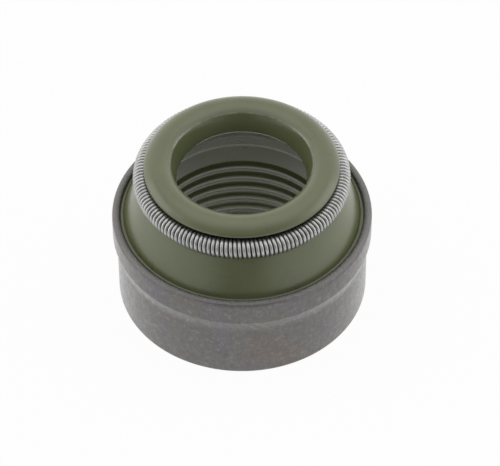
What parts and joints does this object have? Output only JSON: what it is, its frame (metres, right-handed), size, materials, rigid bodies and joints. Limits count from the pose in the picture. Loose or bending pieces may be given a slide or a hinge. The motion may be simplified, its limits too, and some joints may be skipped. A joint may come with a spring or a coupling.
{
  "type": "valve stem seal",
  "caption": "Valve stem seal: a stepped steel case with a bonded elastomer body whose lip is pressed on the valve stem by a garter spring.",
  "frame": {"origin": "centre of the lower edge of the case, on the seal's axis", "axes": "+Z along the axis, from the valve guide towards the lip and the garter spring"},
  "size_m": [0.0152, 0.0152, 0.0103],
  "materials": {
    "steel": "satin",
    "elastomer": "satin",
    "spring_wire": "polished"
  },
  "bodies": {
    "root": {"steel_case": "steel", "seal_body": "elastomer", "garter_spring": "spring_wire"}
  },
  "joints": []
}
